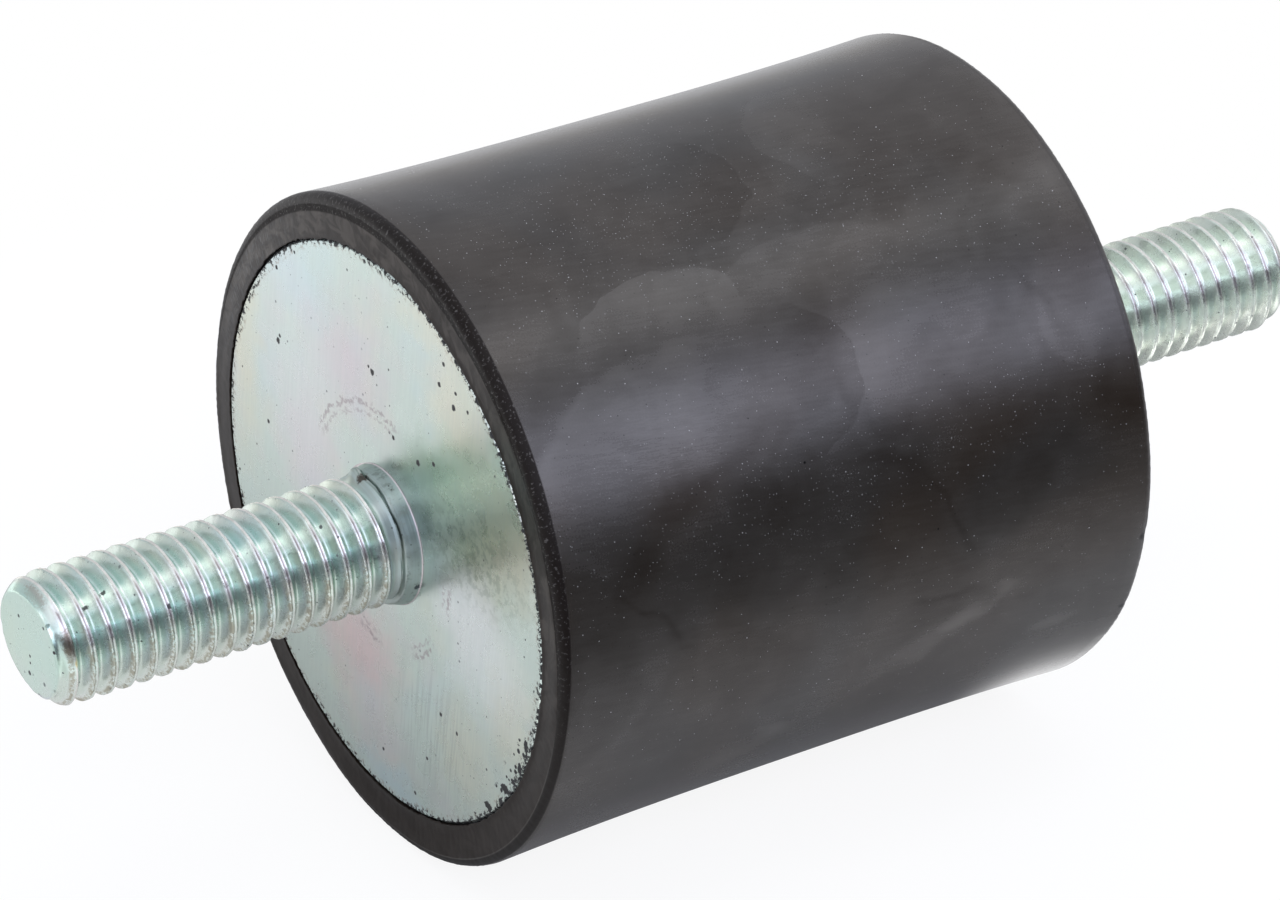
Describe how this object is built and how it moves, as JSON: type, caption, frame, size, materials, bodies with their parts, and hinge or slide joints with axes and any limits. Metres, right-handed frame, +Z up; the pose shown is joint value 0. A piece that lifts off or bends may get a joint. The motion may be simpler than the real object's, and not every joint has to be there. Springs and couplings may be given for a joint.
{
  "type": "rubber buffer",
  "caption": "Cylindrical rubber buffer with bonded steel end plates and a threaded stud at each end, for vibration damping.",
  "frame": {"origin": "centre of the buffer, on its axis and half way between the end plates", "axes": "+X along the buffer's axis towards the rear stud, +Z up as the picture shows the buffer lying"},
  "size_m": [0.0864, 0.04, 0.04],
  "materials": {
    "rubber": "satin black rubber with a light bloom",
    "plate_zinc": "zinc-plated steel sheet, pale green-blue with soft iridescence",
    "stud_zinc": "zinc-plated rolled thread, pale green-blue and bright on the crests"
  },
  "bodies": {
    "root": {"rubber_body": "rubber", "front_plate": "plate_zinc", "rear_plate": "plate_zinc", "front_stud": "stud_zinc", "rear_stud": "stud_zinc"}
  },
  "joints": []
}
